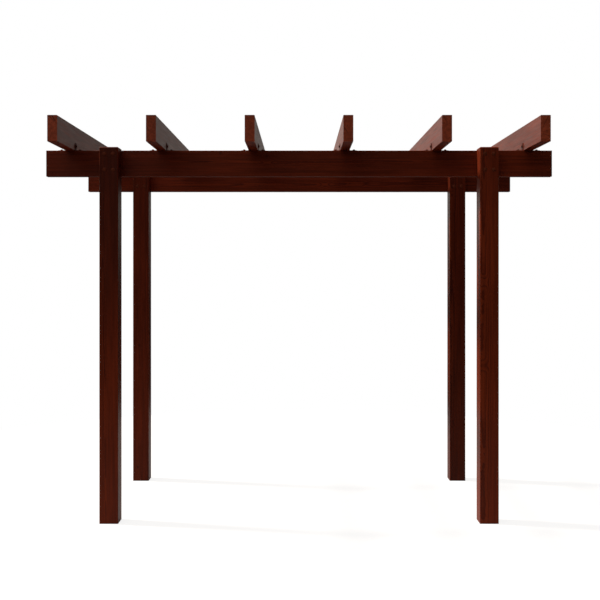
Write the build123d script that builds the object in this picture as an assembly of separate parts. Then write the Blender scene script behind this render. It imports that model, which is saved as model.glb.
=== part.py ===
from build123d import *
import os

# Free-standing wooden pergola, in millimetres, +Z up.
# The origin is on the ground under the middle of the rafters, and the front faces -Y.

# Posts, square in section, with a shallow trench across the back of each head for its beam.
# The inset is how far the middle of a post stands in from the middle of the outer rafter.
post_width = 120.0
post_height = 2400.0
post_inset = 273.0
post_edge_radius = 5.0
post_head_chamfer = 4.0
post_head_above_beam = 10.0
trench_depth = 15.0

# Beams, on edge, running left to right and on past the outer rafters
beam_thickness = 60.0
beam_height = 168.0
beam_overhang = 123.0
beam_edge_radius = 3.0
frame_spacing = 1200.0

# Rafters, on edge, running front to back on top of the beams
rafter_count = 6
rafter_thickness = 60.0
rafter_height = 160.0
rafter_overhang = 430.0
rafter_spacing = 594.0
rafter_edge_radius = 3.0

# Angle brackets, folded from strip, one on each side of a rafter at each beam
bracket_width = 40.0
bracket_upright = 50.0
bracket_foot = 50.0
bracket_thickness = 2.5
bracket_bend_radius = 2.0
bracket_corner_cut = 5.0
bracket_hole_diameter = 9.0
bracket_hole_inset = 20.0

# Heights and places that follow from the sizes above
beam_top = post_height - post_head_above_beam
beam_underside = beam_top - beam_height
rafter_length = frame_spacing + beam_thickness + 2 * rafter_overhang
outer_rafter_spacing = (rafter_count - 1) * rafter_spacing
post_spacing = outer_rafter_spacing - 2 * post_inset
beam_length = outer_rafter_spacing + rafter_thickness + 2 * beam_overhang
front_beam_face = -(frame_spacing + beam_thickness) / 2
beam_faces = {"front": front_beam_face, "rear": front_beam_face + frame_spacing}
post_sides = {"left": -post_spacing / 2, "right": post_spacing / 2}
first_rafter = -outer_rafter_spacing / 2


def timber(width, height, length, edge_radius):
    """A length of planed timber along Z, its four long edges eased."""
    return extrude(RectangleRounded(width, height, edge_radius), length)


def post(x, beam_face):
    """A post standing on the ground, with its head cut for the beam behind it."""
    back = beam_face + trench_depth
    body = timber(post_width, post_width, post_height, post_edge_radius)
    body = chamfer(body.edges().group_by(Axis.Z)[-1], post_head_chamfer)
    body = Pos(x, back - post_width / 2, 0) * body
    trench = Box(
        2 * post_width,
        trench_depth,
        beam_height,
        align=(Align.CENTER, Align.MAX, Align.MIN),
    )
    return body - Pos(x, back, beam_underside) * trench


def beam(face):
    """A beam on edge, its front face seated in the trenches of two posts."""
    stick = timber(beam_height, beam_thickness, beam_length, beam_edge_radius)
    turned = Pos(-beam_length / 2, 0, 0) * Rot(0, 90, 0) * stick
    return Pos(0, face + beam_thickness / 2, beam_underside + beam_height / 2) * turned


def rafter(x):
    """A rafter lying on edge across both beams, its ends cut square."""
    stick = timber(rafter_thickness, rafter_height, rafter_length, rafter_edge_radius)
    turned = Pos(0, rafter_length / 2, 0) * Rot(90, 0, 0) * stick
    return Pos(x, 0, beam_top + rafter_height / 2) * turned


def bracket_strip():
    """The folded strip: its upright stands on the plane X = 0, its foot on Z = 0."""
    profile = make_face(
        Polyline(
            (0, 0),
            (bracket_foot, 0),
            (bracket_foot, bracket_thickness),
            (bracket_thickness, bracket_thickness),
            (bracket_thickness, bracket_upright),
            (0, bracket_upright),
            close=True,
        )
    )
    inside = profile.vertices().sort_by_distance((bracket_thickness, bracket_thickness))[0]
    profile = fillet(inside, bracket_bend_radius)
    outside = profile.vertices().sort_by_distance((0, 0))[0]
    profile = fillet(outside, bracket_bend_radius + bracket_thickness)
    return extrude(Plane.XZ * profile, bracket_width / 2, both=True)


def angle_bracket():
    """A folded bracket with its corners cut and one hole through each leg."""
    strip = bracket_strip()
    tip = strip.edges().filter_by(Axis.X).group_by(Axis.Z)[-1]
    toe = strip.edges().filter_by(Axis.Z).group_by(Axis.X)[-1]
    strip = chamfer(tip + toe, bracket_corner_cut)
    hole = Cylinder(bracket_hole_diameter / 2, 4 * bracket_thickness)
    foot_hole = Pos(bracket_foot - bracket_hole_inset, 0, 0) * hole
    upright_hole = Pos(0, 0, bracket_upright - bracket_hole_inset) * Rot(0, 90, 0) * hole
    return strip - foot_hole - upright_hole


def brackets(x, face):
    """The two brackets that hold one rafter down on one beam."""
    right = Pos(rafter_thickness / 2, 0, 0) * angle_bracket()
    left = mirror(right, Plane.YZ)
    seat = Pos(x, face + beam_thickness / 2, beam_top)
    return Compound(children=[seat * left, seat * right])


def save(name, shape):
    export_step(shape, f"parts/{name}.step")


os.makedirs("parts", exist_ok=True)

for row, face in beam_faces.items():
    save(f"beam_{row}", beam(face))
    for side, x in post_sides.items():
        save(f"post_{row}_{side}", post(x, face))

for number in range(1, rafter_count + 1):
    x = first_rafter + (number - 1) * rafter_spacing
    save(f"rafter_{number}", rafter(x))
    for row, face in beam_faces.items():
        save(f"brackets_{row}_{number}", brackets(x, face))
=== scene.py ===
import math
import random

import bpy
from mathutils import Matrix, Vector


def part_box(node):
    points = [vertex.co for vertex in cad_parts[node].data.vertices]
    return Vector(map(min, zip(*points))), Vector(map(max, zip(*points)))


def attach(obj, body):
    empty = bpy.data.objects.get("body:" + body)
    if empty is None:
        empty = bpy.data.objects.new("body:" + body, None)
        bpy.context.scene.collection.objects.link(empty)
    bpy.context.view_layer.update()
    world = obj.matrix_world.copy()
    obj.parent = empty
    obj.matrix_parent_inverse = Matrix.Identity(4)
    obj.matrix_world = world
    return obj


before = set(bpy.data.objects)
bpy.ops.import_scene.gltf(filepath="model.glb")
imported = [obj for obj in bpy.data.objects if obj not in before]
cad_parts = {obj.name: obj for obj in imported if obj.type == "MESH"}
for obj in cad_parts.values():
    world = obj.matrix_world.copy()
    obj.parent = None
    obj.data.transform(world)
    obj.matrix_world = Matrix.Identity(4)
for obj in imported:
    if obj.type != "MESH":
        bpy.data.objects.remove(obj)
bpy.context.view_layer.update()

MM = 0.001

# The camera stands level and square to the front, at a standing person's eye height
camera_place = (0.006, -6.665, 1.630)
camera_lens = 55.9
picture_height = 600
horizon_row = 267.8

# The key lamp, high on the left, throws the shadows of the rafters and beams to the right.
# The fill lamp is weak and broad, and lights the front from the upper left.
key_direction = (1.0, -0.20, -1.36)
key_strength = 4.8
key_width = math.radians(5)
fill_direction = (0.5, 0.5, -0.75)
fill_strength = 0.8
fill_width = math.radians(80)

# The room: a dim ceiling, and a wall behind the pergola that looks nearly white in reflections and
# gives a little less light. Both are dimmer towards the right. Where one starts, is full or has
# dimmed is a part of a direction: for the ceiling and the wall's height 0 is level and 1 is
# overhead, for the wall's depth 1 is straight behind, and for the dimming 1 is straight right.
ceiling_light = 0.42
ceiling_starts = 0.0
ceiling_full = 0.7
wall_light = 0.75
wall_mirrored = 0.85
wall_height_starts = -0.01
wall_height_full = 0.07
wall_depth_starts = -0.20
wall_depth_full = 0.50
dimming_span = 0.40
right_share = 0.38
room_tint = "#FFFBF2"

# The floor is a pale round mat, wide enough for the whole shadow. It glows white to the camera, and
# a quarter as strongly in reflections, so that the feet of the posts don't turn pale.
floor_radius = 4.0
floor_segments = 96
floor_shade = "#78726D"
floor_glow = 0.86
floor_mirrored = 0.25

# Mahogany stain, and the same stain over late wood, knots, cut ends and rubbed arrises
stain = "#702810"
stain_late_wood = "#561B0A"
stain_knot = "#3A1409"
# The cut-end colours are partly the end grain's own redder colour and partly painted light: they
# are made lighter to stand for the light that falls on the rafter ends
stain_end_and_painted_light = "#9E472C"
stain_end_late_wood_and_painted_light = "#7E331F"
stain_rubbed = "#7C3A24"
stain_roughness = 0.38
sheen_spread = 0.07
stain_specular = 0.13

# Growth rings at a real spacing. Each darkens through its later part, and they wander sideways
# along the timber. The pith lies off the timber's middle and not quite along it.
ring_spacing = 5.5 * MM
late_wood_starts = 0.35
late_wood_full = 0.95
ring_wander = 26 * MM
wander_length = 150 * MM
wander_stretch = 7
ring_raggedness = 1.5
pith_offset = (25 * MM, 70 * MM)
pith_slope = math.radians(0.5)

# Knots of a real size, in a share of the cells that the wood is divided into. The heart is the
# part that is fully dark, and the rings bend round a knot from as many radii away as its reach.
knot_cell = 165 * MM
knot_radius = 13 * MM
knot_share = 0.25
knot_depth = 0.6
knot_heart = 0.4
knot_reach = 5
knot_pull = 14

# Streaks, fibres and blotches in the stain: how wide they are, how many times as long, and how
# dark and light they get. Real fibres are too fine to show, so these are a hundred times coarser.
streak_width = 18 * MM
streak_stretch = 30
streak_shade = (0.80, 1.20)
fibre_width = 3 * MM
fibre_stretch = 60
fibre_shade = (0.90, 1.10)
blotch_size = 320 * MM
blotch_stretch = 2.5
blotch_shade = (0.85, 1.15)
grain_relief = 0.4 * MM

# Drying checks in the cut ends: how many could fan out round the pith, how long they are, and
# how strong the noise is where one opens
checks_round = 46
check_length = 110 * MM
check_starts = 0.66
check_full = 0.72

# How squarely a surface faces the grain, for the cut ends, or any side, for the arrises: 1 is
# square on. The arrises are rubbed by a share that follows the streaks.
end_starts = 0.6
end_full = 0.9
arris_starts = 0.985
arris_full = 0.90
rubbed_streaks = (0.35, 0.65)
rubbed_share = (0.1, 0.5)

# Nearly all of a noise lies between these two, and the rings of a wave texture of scale 1 are
# one period apart
noise_low = 0.3
noise_high = 0.7
wave_period = math.pi / 10

# How much lighter or darker each timber is made at its start and end, which are foot and head, or
# left and right. Luck varies it a little, and each timber has its own place in the noise.
tone = {
    "post_front_left": (1.20, 0.55),
    "post_front_right": (1.05, 1.15),
    "post_rear_left": (0.90, 0.75),
    "post_rear_right": (0.52, 0.75),
    "beam_front": (0.90, 1.05),
    "beam_rear": (1.00, 0.85),
}
plain_tone = (1.0, 1.0)
tone_luck = (0.95, 1.05)
noise_places = (0, 40)
wood_seed = 11

# Steels: the colours of the coat and of the zinc under it, the roughness, and the size of the
# specks. The zinc shows through, up to a share, where the noise is high.
bracket_steel = ("#4A1D11", "#5A4C48", 0.6, 9 * MM)
screw_steel = ("#4C2013", "#63564F", 0.55, 5 * MM)
bolt_steel = ("#622813", "#5E3A2A", 0.7, 8 * MM)
zinc_starts = 0.55
zinc_full = 0.75
zinc_share = 0.4
steel_sheen_spread = 0.1
brush_relief = 0.2 * MM

# Angle brackets: strip thickness, and how far each hole is from the end of its leg
strip_thickness = 2.5 * MM
hole_inset = 20 * MM

# Hexagon-head coach screws, M8, each on a broad washer
screw_flats = 13 * MM
screw_head = 5.3 * MM
screw_washer_width = 24 * MM
screw_washer_thickness = 2.0 * MM

# Cup-head bolts, M10, four through each post head and its beam
bolt_head = 24.6 * MM
bolt_head_height = 4.4 * MM
bolt_pitch_across = 54 * MM
bolt_pitch_up = 102 * MM
nut_flats = 17 * MM
nut_height = 8.4 * MM
washer_width = 30 * MM
washer_thickness = 2.5 * MM
bolt_diameter = 10 * MM
bolt_end = 6 * MM

# The bevel round the top of a head, nut or washer: its share of the height, and what it leaves
# of the width
bevel_share = 0.2
bevel_leaves = 0.9


def linear(code):
    """The linear colour of an sRGB hex code."""
    parts = [int(code[i : i + 2], 16) / 255 for i in (1, 3, 5)]
    return [p / 12.92 if p <= 0.04045 else ((p + 0.055) / 1.055) ** 2.4 for p in parts] + [1.0]


def add(tree, kind, inputs=None, output=None, **settings):
    """Adds a node with its settings, sets or links its inputs by name or place, and returns the
    named output, or else the first one."""
    node = tree.nodes.new(kind)
    for name, value in settings.items():
        setattr(node, name, value)
    live = [s for s in node.inputs if s.enabled]
    for key, value in (inputs or {}).items():
        socket = live[key] if isinstance(key, int) else next(s for s in live if s.name == key)
        if isinstance(value, bpy.types.NodeSocket):
            tree.links.new(value, socket)
        else:
            socket.default_value = value
    outputs = [s for s in node.outputs if s.enabled]
    if output:
        return next(s for s in outputs if s.name == output)
    return outputs[0] if outputs else node


def grain_space(tree, along, pith, slope):
    """Places measured from the pith, with Z along the grain."""
    turn = {"X": (0, math.pi / 2, 0), "Y": (-math.pi / 2, 0, 0), "Z": (0, 0, 0)}[along]
    place = add(tree, "ShaderNodeTexCoord", output="Object")
    return add(
        tree,
        "ShaderNodeMapping",
        {"Vector": place, "Location": pith, "Rotation": [a + s for a, s in zip(turn, slope)]},
        vector_type="TEXTURE",
    )


def grain_noise(tree, stick, shift, size, stretch, output="Fac", **settings):
    """Noise whose spots are size across the grain and stretch times as long along it."""
    space = add(
        tree,
        "ShaderNodeMapping",
        {"Vector": stick, "Location": shift, "Scale": (1, 1, 1 / stretch)},
    )
    return add(tree, "ShaderNodeTexNoise", {"Vector": space, "Scale": 1 / size, **settings}, output)


def scattered_knots(tree, stick, shift):
    """Balls scattered through the wood, so that each cut shows a round or oval knot. Returns the
    knots themselves, and how strongly the rings bend round them."""
    space = add(tree, "ShaderNodeVectorMath", {0: stick, 1: shift}, operation="ADD")
    distance = add(
        tree, "ShaderNodeTexVoronoi", {"Vector": space, "Scale": 1 / knot_cell}, "Distance"
    )
    radius = knot_radius / knot_cell
    chance = add(tree, "ShaderNodeSeparateColor", {"Color": distance.node.outputs["Color"]})
    chosen = add(tree, "ShaderNodeMath", {0: chance, 1: knot_share}, operation="LESS_THAN")
    ball = add(
        tree,
        "ShaderNodeMapRange",
        {
            "Value": distance,
            "From Min": radius,
            "From Max": knot_heart * radius,
            "To Max": knot_depth,
        },
        interpolation_type="SMOOTHSTEP",
    )
    pull = add(
        tree,
        "ShaderNodeMapRange",
        {"Value": distance, "From Min": knot_reach * radius, "From Max": 0, "To Max": knot_pull},
        interpolation_type="SMOOTHSTEP",
    )
    knot = add(tree, "ShaderNodeMath", {0: ball, 1: chosen}, operation="MULTIPLY")
    swirl = add(tree, "ShaderNodeMath", {0: pull, 1: chosen}, operation="MULTIPLY")
    return knot, swirl


def growth_rings(tree, stick, shift, swirl):
    """Pale early wood that darkens outwards and ends sharply. Returns the late wood, and the
    wandering places that the rings are drawn round."""
    drift = grain_noise(tree, stick, shift, wander_length, wander_stretch, "Color", Detail=2.0)
    centred = add(
        tree, "ShaderNodeVectorMath", {0: drift, 1: (0.5, 0.5, 0.5)}, operation="SUBTRACT"
    )
    bent = add(
        tree,
        "ShaderNodeVectorMath",
        {0: centred, 1: (ring_wander, ring_wander, 0), 2: stick},
        operation="MULTIPLY_ADD",
    )
    rings = add(
        tree,
        "ShaderNodeTexWave",
        {
            "Vector": bent,
            "Scale": wave_period / ring_spacing,
            "Distortion": ring_raggedness,
            "Detail": 2.0,
            "Detail Scale": 0.6,
            "Phase Offset": swirl,
        },
        "Fac",
        wave_type="RINGS",
        rings_direction="Z",
        wave_profile="SAW",
    )
    late_wood = add(
        tree,
        "ShaderNodeMapRange",
        {"Value": rings, "From Min": late_wood_starts, "From Max": late_wood_full},
        interpolation_type="SMOOTHSTEP",
    )
    return late_wood, bent


def ends_and_arrises(tree, along, streaks):
    """Masks of the cut ends and of the rubbed arrises, told by which way the surface faces."""
    normal = add(tree, "ShaderNodeTexCoord", output="Normal")
    flatness = add(tree, "ShaderNodeVectorMath", {0: normal}, operation="ABSOLUTE")
    sides = add(tree, "ShaderNodeSeparateXYZ", {"Vector": flatness}).node.outputs
    end = add(
        tree,
        "ShaderNodeMapRange",
        {"Value": sides[along], "From Min": end_starts, "From Max": end_full},
        interpolation_type="SMOOTHSTEP",
    )
    level = add(tree, "ShaderNodeMath", {0: sides["X"], 1: sides["Y"]}, operation="MAXIMUM")
    flattest = add(tree, "ShaderNodeMath", {0: level, 1: sides["Z"]}, operation="MAXIMUM")
    edge = add(
        tree,
        "ShaderNodeMapRange",
        {"Value": flattest, "From Min": arris_starts, "From Max": arris_full},
        interpolation_type="SMOOTHSTEP",
    )
    wear = add(
        tree,
        "ShaderNodeMapRange",
        {
            "Value": streaks,
            "From Min": rubbed_streaks[0],
            "From Max": rubbed_streaks[1],
            "To Min": rubbed_share[0],
            "To Max": rubbed_share[1],
        },
        interpolation_type="SMOOTHSTEP",
    )
    arris = add(tree, "ShaderNodeMath", {0: edge, 1: wear}, operation="MULTIPLY")
    return end, arris


def drying_checks(tree, bent, end):
    """Fine dark cracks that run out from the pith across a cut end."""
    angle = add(tree, "ShaderNodeTexGradient", {"Vector": bent}, "Fac", gradient_type="RADIAL")
    radius = add(tree, "ShaderNodeVectorMath", {0: bent}, "Value", operation="LENGTH")
    spokes = add(tree, "ShaderNodeMath", {0: angle, 1: checks_round}, operation="MULTIPLY")
    outward = add(tree, "ShaderNodeMath", {0: radius, 1: 1 / check_length}, operation="MULTIPLY")
    fan = add(tree, "ShaderNodeCombineXYZ", {"X": spokes, "Y": outward})
    rays = add(tree, "ShaderNodeTexNoise", {"Vector": fan, "Scale": 1.0, "Detail": 1.0})
    cracks = add(
        tree,
        "ShaderNodeMapRange",
        {"Value": rays, "From Min": check_starts, "From Max": check_full},
        interpolation_type="SMOOTHSTEP",
    )
    return add(tree, "ShaderNodeMath", {0: cracks, 1: end}, operation="MULTIPLY")


def soaked_stain(tree, stick, shift, streaks, fibres, half_length, shades):
    """How light the stain lies in long streaks, fine fibres and broad blotches, and how much
    lighter or darker the colour is made from one end of the timber to the other."""
    blotches = grain_noise(tree, stick, shift, blotch_size, blotch_stretch, Detail=3.0)
    length = add(tree, "ShaderNodeSeparateXYZ", {"Vector": stick}, "Z")
    spreads = [
        (streaks, noise_low, noise_high, streak_shade),
        (fibres, noise_low, noise_high, fibre_shade),
        (blotches, noise_low, noise_high, blotch_shade),
        (length, -half_length, half_length, shades),
    ]
    lightness = 1.0
    for value, low, high, (first, last) in spreads:
        share = add(
            tree,
            "ShaderNodeMapRange",
            {
                "Value": value,
                "From Min": low,
                "From Max": high,
                "To Min": first,
                "To Max": last,
            },
            interpolation_type="SMOOTHSTEP",
        )
        lightness = add(tree, "ShaderNodeMath", {0: share, 1: lightness}, operation="MULTIPLY")
    return lightness


def stained_softwood(name, along, pith, slope, shift, half_length, shades):
    """Planed softwood under a translucent mahogany stain. To the eye it is dark red-brown with a
    satin sheen: growth rings about the pith, bent round a few knots, long streaks where the stain
    soaked in unevenly, redder cut ends with fine checks, made lighter as well by painted light,
    and arrises rubbed paler."""
    material = bpy.data.materials.new(name)
    material.use_nodes = True
    tree = material.node_tree
    shader = tree.nodes["Principled BSDF"]
    stick = grain_space(tree, along, pith, slope)
    knot, swirl = scattered_knots(tree, stick, shift)
    late_wood, bent = growth_rings(tree, stick, shift, swirl)
    streaks = grain_noise(
        tree, stick, shift, streak_width, streak_stretch, Detail=3.0, Roughness=0.55
    )
    fibres = grain_noise(tree, stick, shift, fibre_width, fibre_stretch, Detail=2.0)
    end, arris = ends_and_arrises(tree, along, streaks)
    check = drying_checks(tree, bent, end)
    lightness = soaked_stain(tree, stick, shift, streaks, fibres, half_length, shades)

    face = add(
        tree,
        "ShaderNodeMix",
        {"Factor": late_wood, "A": linear(stain), "B": linear(stain_late_wood)},
        data_type="RGBA",
    )
    # The cut ends: the end grain's redder colour, made lighter as painted light for the light that
    # falls on the rafter ends
    cut_and_painted_light = add(
        tree,
        "ShaderNodeMix",
        {"Factor": late_wood, "A": linear(stain_end_and_painted_light), "B": linear(stain_end_late_wood_and_painted_light)},
        data_type="RGBA",
    )
    wood = add(tree, "ShaderNodeMix", {"Factor": end, "A": face, "B": cut_and_painted_light}, data_type="RGBA")
    colour = add(tree, "ShaderNodeHueSaturation", {"Color": wood, "Value": lightness})
    for mark, shade in ((knot, stain_knot), (check, stain_knot), (arris, stain_rubbed)):
        colour = add(
            tree,
            "ShaderNodeMix",
            {"Factor": mark, "A": colour, "B": linear(shade)},
            data_type="RGBA",
        )
    tree.links.new(colour, shader.inputs["Base Color"])

    # The fibres break up the sheen, and the late wood stands a little proud
    sheen = add(
        tree,
        "ShaderNodeMapRange",
        {
            "Value": fibres,
            "From Min": noise_low,
            "From Max": noise_high,
            "To Min": stain_roughness - sheen_spread,
            "To Max": stain_roughness + sheen_spread,
        },
    )
    tree.links.new(sheen, shader.inputs["Roughness"])
    shader.inputs["Specular IOR Level"].default_value = stain_specular
    ridges = add(
        tree, "ShaderNodeMath", {0: late_wood, 1: 0.5, 2: fibres}, operation="MULTIPLY_ADD"
    )
    height = add(tree, "ShaderNodeMath", {0: ridges, 1: check}, operation="SUBTRACT")
    relief = add(
        tree, "ShaderNodeBump", {"Height": height, "Strength": 0.5, "Distance": grain_relief}
    )
    tree.links.new(relief, shader.inputs["Normal"])
    return material


def dress_timbers():
    """Gives each post, beam and rafter wood of its own, with its own pith, knots and tone."""
    dice = random.Random(wood_seed)
    axes = {"post": "Z", "beam": "X", "rafter": "Y"}
    for name in sorted(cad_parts):
        kind = name.split("_")[0]
        if kind not in axes:
            continue
        low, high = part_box(name)
        angle = dice.uniform(0, 2 * math.pi)
        offset = dice.uniform(*pith_offset)
        step = {
            "Z": (math.cos(angle), math.sin(angle), 0),
            "X": (0, math.cos(angle), math.sin(angle)),
            "Y": (math.cos(angle), 0, math.sin(angle)),
        }[axes[kind]]
        pith = (low + high) / 2 + offset * Vector(step)
        slope = [dice.uniform(-pith_slope, pith_slope) for _ in range(3)]
        shift = [dice.uniform(*noise_places) for _ in range(3)]
        luck = dice.uniform(*tone_luck)
        shades = [luck * shade for shade in tone.get(name, plain_tone)]
        half_length = max(high - low) / 2
        material = stained_softwood(
            f"stained_softwood_{name}", axes[kind], pith, slope, shift, half_length, shades
        )
        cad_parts[name].material_slots[0].material = material


def stained_steel(name, coat, bare, roughness, speck):
    """Galvanised steel brushed over with the timber's stain. To the eye it is dull and nearly as
    dark as the wood, with specks of greyer zinc where the coat is thin."""
    material = bpy.data.materials.new(name)
    material.use_nodes = True
    tree = material.node_tree
    shader = tree.nodes["Principled BSDF"]
    place = add(tree, "ShaderNodeTexCoord", output="Object")
    thin = add(tree, "ShaderNodeTexNoise", {"Vector": place, "Scale": 1 / speck, "Detail": 4.0})
    bared = add(
        tree,
        "ShaderNodeMapRange",
        {"Value": thin, "From Min": zinc_starts, "From Max": zinc_full, "To Max": zinc_share},
    )
    colour = add(
        tree,
        "ShaderNodeMix",
        {"Factor": bared, "A": linear(coat), "B": linear(bare)},
        data_type="RGBA",
    )
    tree.links.new(colour, shader.inputs["Base Color"])
    tree.links.new(bared, shader.inputs["Metallic"])
    dull = add(
        tree,
        "ShaderNodeMapRange",
        {
            "Value": thin,
            "To Min": roughness + steel_sheen_spread,
            "To Max": roughness - steel_sheen_spread,
        },
    )
    tree.links.new(dull, shader.inputs["Roughness"])
    shader.inputs["Specular IOR Level"].default_value = stain_specular
    relief = add(
        tree, "ShaderNodeBump", {"Height": thin, "Strength": 0.3, "Distance": brush_relief}
    )
    tree.links.new(relief, shader.inputs["Normal"])
    return material


def new_tree(name, sizes):
    """A Geometry Nodes tree with its points, material and sizes as named inputs."""
    tree = bpy.data.node_groups.new(name, "GeometryNodeTree")
    face = tree.interface
    face.new_socket("Geometry", in_out="INPUT", socket_type="NodeSocketGeometry")
    face.new_socket("Material", in_out="INPUT", socket_type="NodeSocketMaterial")
    face.new_socket("Seed", in_out="INPUT", socket_type="NodeSocketInt")
    for size in sizes:
        face.new_socket(size, in_out="INPUT", socket_type="NodeSocketFloat")
    face.new_socket("Geometry", in_out="OUTPUT", socket_type="NodeSocketGeometry")
    given = tree.nodes.new("NodeGroupInput").outputs
    return tree, given


def finish_tree(tree, given, template):
    """Sets one template on each point, along its axis and turned at random, as one plain mesh."""
    axis = add(
        tree, "GeometryNodeInputNamedAttribute", {"Name": "axis"}, data_type="FLOAT_VECTOR"
    )
    upright = add(tree, "FunctionNodeAlignRotationToVector", {"Vector": axis}, axis="Z")
    placed = add(
        tree,
        "GeometryNodeInstanceOnPoints",
        {"Points": given["Geometry"], "Instance": template, "Rotation": upright},
    )
    angle = add(
        tree,
        "FunctionNodeRandomValue",
        {"Max": 2 * math.pi, "Seed": given["Seed"]},
        data_type="FLOAT",
    )
    spin = add(tree, "FunctionNodeAxisAngleToRotation", {"Axis": (0, 0, 1), "Angle": angle})
    turned = add(tree, "GeometryNodeRotateInstances", {"Instances": placed, "Rotation": spin})
    solid = add(tree, "GeometryNodeRealizeInstances", {"Geometry": turned})
    painted = add(
        tree, "GeometryNodeSetMaterial", {"Geometry": solid, "Material": given["Material"]}
    )
    add(tree, "NodeGroupOutput", {"Geometry": painted})
    return tree


def raised_disc(tree, sides, width, height, base):
    """A round or hexagonal slab of that width over its corners, with its rim bevelled on top."""
    radius = add(tree, "ShaderNodeMath", {0: width, 1: 0.5}, operation="MULTIPLY")
    bevel = add(tree, "ShaderNodeMath", {0: height, 1: bevel_share}, operation="MULTIPLY")
    wall = add(tree, "ShaderNodeMath", {0: height, 1: bevel}, operation="SUBTRACT")
    slab = add(
        tree,
        "GeometryNodeMeshCylinder",
        {"Vertices": sides, "Radius": radius, "Depth": wall},
        fill_type="NGON",
    )
    raised = add(
        tree,
        "GeometryNodeExtrudeMesh",
        {"Mesh": slab, "Selection": slab.node.outputs["Top"], "Offset Scale": bevel},
    )
    shrunk = add(
        tree,
        "GeometryNodeScaleElements",
        {"Geometry": raised, "Selection": raised.node.outputs["Top"], "Scale": bevel_leaves},
    )
    half = add(tree, "ShaderNodeMath", {0: wall, 1: 0.5, 2: base}, operation="MULTIPLY_ADD")
    lift = add(tree, "ShaderNodeCombineXYZ", {"Z": half})
    moved = add(tree, "GeometryNodeSetPosition", {"Geometry": shrunk, "Offset": lift})
    return add(tree, "GeometryNodeSetShadeSmooth", {"Geometry": moved, "Shade Smooth": False})


def hexagon_tree(name, with_bolt_end):
    """A hexagon head or nut on its washer, with or without the bolt's end through it."""
    sizes = ["Flats", "Height", "Washer width", "Washer thickness"]
    if with_bolt_end:
        sizes += ["Bolt diameter", "Bolt end"]
    tree, given = new_tree(name, sizes)
    corners = add(
        tree,
        "ShaderNodeMath",
        {0: given["Flats"], 1: 1 / math.cos(math.pi / 6)},
        operation="MULTIPLY",
    )
    washer = raised_disc(tree, 24, given["Washer width"], given["Washer thickness"], 0.0)
    hexagon = raised_disc(tree, 6, corners, given["Height"], given["Washer thickness"])
    parts = [washer, hexagon]
    if with_bolt_end:
        top = add(
            tree,
            "ShaderNodeMath",
            {0: given["Height"], 1: given["Washer thickness"]},
            operation="ADD",
        )
        parts.append(raised_disc(tree, 16, given["Bolt diameter"], given["Bolt end"], top))
    joined = add(tree, "GeometryNodeJoinGeometry")
    for part in reversed(parts):
        tree.links.new(part, joined.node.inputs["Geometry"])
    return finish_tree(tree, given, joined)


def cup_head_tree():
    """A low round bolt head, domed on top and flat where it meets the timber."""
    tree, given = new_tree("cup_head", ["Width", "Height"])
    ball = add(
        tree, "GeometryNodeMeshUVSphere", {"Segments": 24, "Rings": 12, "Radius": 1.0}
    )
    point = add(tree, "GeometryNodeInputPosition")
    split = add(tree, "ShaderNodeSeparateXYZ", {"Vector": point})
    above = add(
        tree, "ShaderNodeMath", {0: split.node.outputs["Z"], 1: 0.0}, operation="MAXIMUM"
    )
    radius = add(tree, "ShaderNodeMath", {0: given["Width"], 1: 0.5}, operation="MULTIPLY")
    dome = add(
        tree,
        "ShaderNodeCombineXYZ",
        {
            "X": add(tree, "ShaderNodeMath", {0: split, 1: radius}, operation="MULTIPLY"),
            "Y": add(
                tree,
                "ShaderNodeMath",
                {0: split.node.outputs["Y"], 1: radius},
                operation="MULTIPLY",
            ),
            "Z": add(tree, "ShaderNodeMath", {0: above, 1: given["Height"]}, operation="MULTIPLY"),
        },
    )
    domed = add(tree, "GeometryNodeSetPosition", {"Geometry": ball, "Position": dome})
    smooth = add(tree, "GeometryNodeSetShadeSmooth", {"Geometry": domed, "Shade Smooth": True})
    return finish_tree(tree, given, smooth)


def fixings(name, tree, places, material, seed, sizes):
    """One piece made of the tree's template at each place, standing along its axis."""
    mesh = bpy.data.meshes.new(name + "_places")
    mesh.from_pydata([place for place, _ in places], [], [])
    axis = mesh.attributes.new("axis", "FLOAT_VECTOR", "POINT")
    axis.data.foreach_set("vector", [part for _, way in places for part in way])
    points = bpy.data.objects.new(name + "_places", mesh)
    bpy.context.scene.collection.objects.link(points)
    modifier = points.modifiers.new("fixings", "NODES")
    modifier.node_group = tree
    values = {"Material": material, "Seed": seed, **sizes}
    for item in tree.interface.items_tree:
        if item.in_out == "INPUT" and item.name in values:
            modifier[item.identifier] = values[item.name]
    evaluated = points.evaluated_get(bpy.context.evaluated_depsgraph_get())
    made = bpy.data.meshes.new_from_object(evaluated)
    bpy.data.objects.remove(points)
    piece = bpy.data.objects.new(name, made)
    bpy.context.scene.collection.objects.link(piece)
    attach(piece, "root")
    return piece


def bracket_screw_places():
    """Two screws in each angle bracket: down through its foot, and sideways into the rafter."""
    places = []
    for name in sorted(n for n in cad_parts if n.startswith("brackets_")):
        low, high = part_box(name)
        rafter_low, rafter_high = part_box("rafter_" + name.split("_")[-1])
        middle = (low.y + high.y) / 2
        for side, toe, cheek in ((-1, low.x, rafter_low.x), (1, high.x, rafter_high.x)):
            foot = (toe - side * hole_inset, middle, low.z + strip_thickness)
            upright = (cheek + side * strip_thickness, middle, high.z - hole_inset)
            places += [(foot, (0, 0, 1)), (upright, (side, 0, 0))]
    return places


def bolt_places(end):
    """Four bolts in two pairs at each post head: their heads in front, their nuts behind."""
    places = []
    for row in ("front", "rear"):
        beam_low, beam_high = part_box(f"beam_{row}")
        for side in ("left", "right"):
            post_low, post_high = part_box(f"post_{row}_{side}")
            x = (post_low.x + post_high.x) / 2
            z = (beam_low.z + beam_high.z) / 2
            y, way = (post_low.y, (0, -1, 0)) if end == "heads" else (beam_high.y, (0, 1, 0))
            for across in (-0.5, 0.5):
                for up in (-0.5, 0.5):
                    place = (x + across * bolt_pitch_across, y, z + up * bolt_pitch_up)
                    places.append((place, way))
    return places


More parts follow.
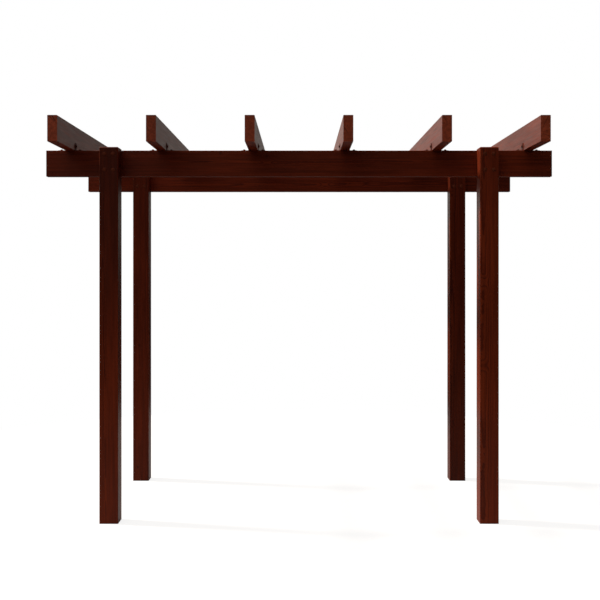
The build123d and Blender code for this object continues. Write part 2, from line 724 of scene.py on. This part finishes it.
def add_fixings():
    """Screws in the brackets, and the bolts that hold the posts to the beams."""
    strip = stained_steel("stained_steel_strip", *bracket_steel)
    for name in sorted(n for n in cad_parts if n.startswith("brackets_")):
        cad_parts[name].material_slots[0].material = strip
    screws = stained_steel("stained_screw_steel", *screw_steel)
    bolts = stained_steel("stained_bolt_steel", *bolt_steel)
    fixings(
        "bracket_screws",
        hexagon_tree("hexagon_screw", False),
        bracket_screw_places(),
        screws,
        3,
        {
            "Flats": screw_flats,
            "Height": screw_head,
            "Washer width": screw_washer_width,
            "Washer thickness": screw_washer_thickness,
        },
    )
    fixings(
        "post_bolt_heads",
        cup_head_tree(),
        bolt_places("heads"),
        bolts,
        5,
        {"Width": bolt_head, "Height": bolt_head_height},
    )
    fixings(
        "post_bolt_nuts",
        hexagon_tree("nut_and_washer", True),
        bolt_places("nuts"),
        bolts,
        7,
        {
            "Flats": nut_flats,
            "Height": nut_height,
            "Washer width": washer_width,
            "Washer thickness": washer_thickness,
            "Bolt diameter": bolt_diameter,
            "Bolt end": bolt_end,
        },
    )


def add_camera():
    """The camera, with its picture slid down so that the horizon lies above the middle."""
    data = bpy.data.cameras.new("camera")
    data.lens = camera_lens
    data.shift_y = horizon_row / picture_height - 0.5
    camera = bpy.data.objects.new("camera", data)
    camera.location = camera_place
    camera.rotation_euler = (math.pi / 2, 0, 0)
    bpy.context.scene.collection.objects.link(camera)
    bpy.context.scene.camera = camera


def add_lamp(name, direction, strength, width):
    """A far lamp that shines the same way everywhere."""
    data = bpy.data.lights.new(name, "SUN")
    data.energy = strength
    data.angle = width
    lamp = bpy.data.objects.new(name, data)
    lamp.rotation_euler = Vector(direction).to_track_quat("-Z", "Y").to_euler()
    bpy.context.scene.collection.objects.link(lamp)


def seen_straight(tree, rays):
    """1 for what the camera sees, also through glass, and 0 for light and reflections."""
    return add(
        tree,
        "ShaderNodeMath",
        {0: rays["Is Camera Ray"], 1: rays["Is Transmission Ray"]},
        operation="MAXIMUM",
    )


def add_room():
    """White to the camera all round. As light, a dim ceiling and a white wall behind, and in
    reflections that wall again, nearly as white as it looks."""
    world = bpy.data.worlds.new("room")
    world.use_nodes = True
    tree = world.node_tree
    bpy.context.scene.world = world
    way = add(tree, "ShaderNodeTexCoord", output="Generated")
    part = add(tree, "ShaderNodeSeparateXYZ", {"Vector": way}).node.outputs
    leftward = add(
        tree,
        "ShaderNodeMapRange",
        {
            "Value": part["X"],
            "From Min": dimming_span,
            "From Max": -dimming_span,
            "To Min": right_share,
        },
        interpolation_type="SMOOTHSTEP",
    )
    overhead = add(
        tree,
        "ShaderNodeMapRange",
        {
            "Value": part["Z"],
            "From Min": ceiling_starts,
            "From Max": ceiling_full,
            "To Max": ceiling_light,
        },
        interpolation_type="SMOOTHSTEP",
    )
    height = add(
        tree,
        "ShaderNodeMapRange",
        {"Value": part["Z"], "From Min": wall_height_starts, "From Max": wall_height_full},
        interpolation_type="SMOOTHSTEP",
    )
    depth = add(
        tree,
        "ShaderNodeMapRange",
        {"Value": part["Y"], "From Min": wall_depth_starts, "From Max": wall_depth_full},
        interpolation_type="SMOOTHSTEP",
    )
    ceiling = add(tree, "ShaderNodeMath", {0: overhead, 1: leftward}, operation="MULTIPLY")
    behind = add(tree, "ShaderNodeMath", {0: height, 1: depth}, operation="MULTIPLY")
    wall = add(tree, "ShaderNodeMath", {0: behind, 1: leftward}, operation="MULTIPLY")
    lit_wall = add(tree, "ShaderNodeMath", {0: wall, 1: wall_light}, operation="MULTIPLY")
    light = add(tree, "ShaderNodeMath", {0: ceiling, 1: lit_wall}, operation="MAXIMUM")

    rays = add(tree, "ShaderNodeLightPath").node.outputs
    mirror = add(
        tree, "ShaderNodeMath", {0: rays["Is Glossy Ray"], 1: wall_mirrored}, operation="MULTIPLY"
    )
    mirrored = add(tree, "ShaderNodeMath", {0: wall, 1: mirror}, operation="MULTIPLY")
    glow = add(tree, "ShaderNodeMath", {0: light, 1: mirrored}, operation="MAXIMUM")
    seen = seen_straight(tree, rays)
    strength = add(tree, "ShaderNodeMix", {"Factor": seen, "A": glow, "B": 1.0})
    tint = add(
        tree,
        "ShaderNodeMix",
        {"Factor": seen, "A": linear(room_tint), "B": (1, 1, 1, 1)},
        data_type="RGBA",
    )
    background = tree.nodes["Background"]
    tree.links.new(tint, background.inputs["Color"])
    tree.links.new(strength, background.inputs["Strength"])


def add_floor():
    """A round pale floor that glows white to the camera and keeps a faint shadow. Glossy
    surfaces mirror a share of that glow."""
    turns = [2 * math.pi * i / floor_segments for i in range(floor_segments)]
    rim = [(floor_radius * math.cos(a), floor_radius * math.sin(a), 0) for a in turns]
    mesh = bpy.data.meshes.new("floor")
    mesh.from_pydata(rim, [], [list(range(floor_segments))])
    floor = bpy.data.objects.new("floor", mesh)
    bpy.context.scene.collection.objects.link(floor)
    material = bpy.data.materials.new("pale_floor")
    material.use_nodes = True
    tree = material.node_tree
    tree.nodes.clear()
    matt = add(tree, "ShaderNodeBsdfDiffuse", {"Color": linear(floor_shade)})
    glow = add(tree, "ShaderNodeEmission", {"Color": (1, 1, 1, 1), "Strength": floor_glow})
    lit = add(tree, "ShaderNodeAddShader", {0: matt, 1: glow})
    rays = add(tree, "ShaderNodeLightPath").node.outputs
    seen = seen_straight(tree, rays)
    mirrored = add(
        tree,
        "ShaderNodeMath",
        {0: rays["Is Glossy Ray"], 1: floor_mirrored},
        operation="MULTIPLY",
    )
    share = add(tree, "ShaderNodeMath", {0: seen, 1: mirrored}, operation="MAXIMUM")
    shown = add(tree, "ShaderNodeMixShader", {0: share, 1: matt, 2: lit})
    add(tree, "ShaderNodeOutputMaterial", {"Surface": shown})
    mesh.materials.append(material)


bpy.context.scene.view_settings.view_transform = "Standard"
add_camera()
add_lamp("key", key_direction, key_strength, key_width)
add_lamp("fill", fill_direction, fill_strength, fill_width)
add_room()
add_floor()
dress_timbers()
add_fixings()
